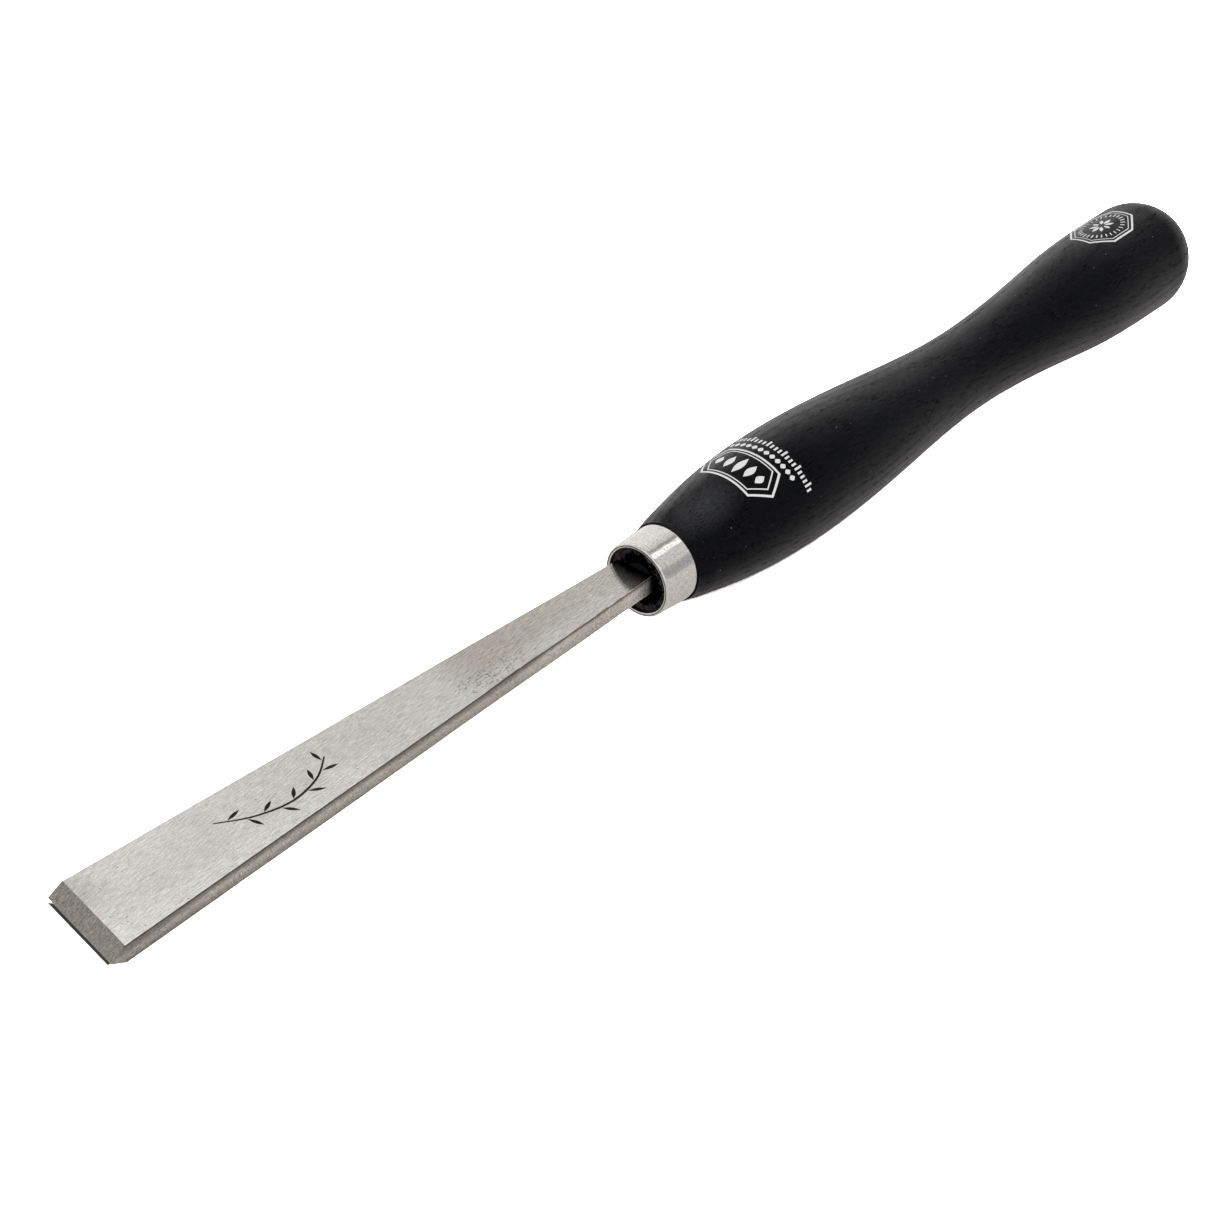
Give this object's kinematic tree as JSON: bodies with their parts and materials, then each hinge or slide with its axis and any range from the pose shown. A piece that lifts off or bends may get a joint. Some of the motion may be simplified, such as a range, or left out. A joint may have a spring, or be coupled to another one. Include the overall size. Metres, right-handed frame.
{
  "type": "woodturning chisel",
  "caption": "Flat double-bevelled woodturning chisel: a tapered steel blade with a skewed edge, a plated ferrule and a long black turned wooden handle.",
  "frame": {"origin": "on the blade's flat underside, on the handle's centre line, in the plane of the ferrule's front rim", "axes": "+X from the cutting edge to the butt along the handle, +Z out of the blade's upper face, +Y across the blade towards the heel of the edge"},
  "size_m": [0.4732, 0.0376, 0.0376],
  "materials": {
    "blade_steel": "satin",
    "ferrule_plate": "polished",
    "ebonised_wood": "satin",
    "resin": "gloss",
    "print_ink": "matte",
    "etch_mark": "matte"
  },
  "bodies": {
    "root": {"blade": "blade_steel", "ferrule": "ferrule_plate", "handle": "ebonised_wood", "tang_adhesive": "resin"}
  },
  "joints": []
}
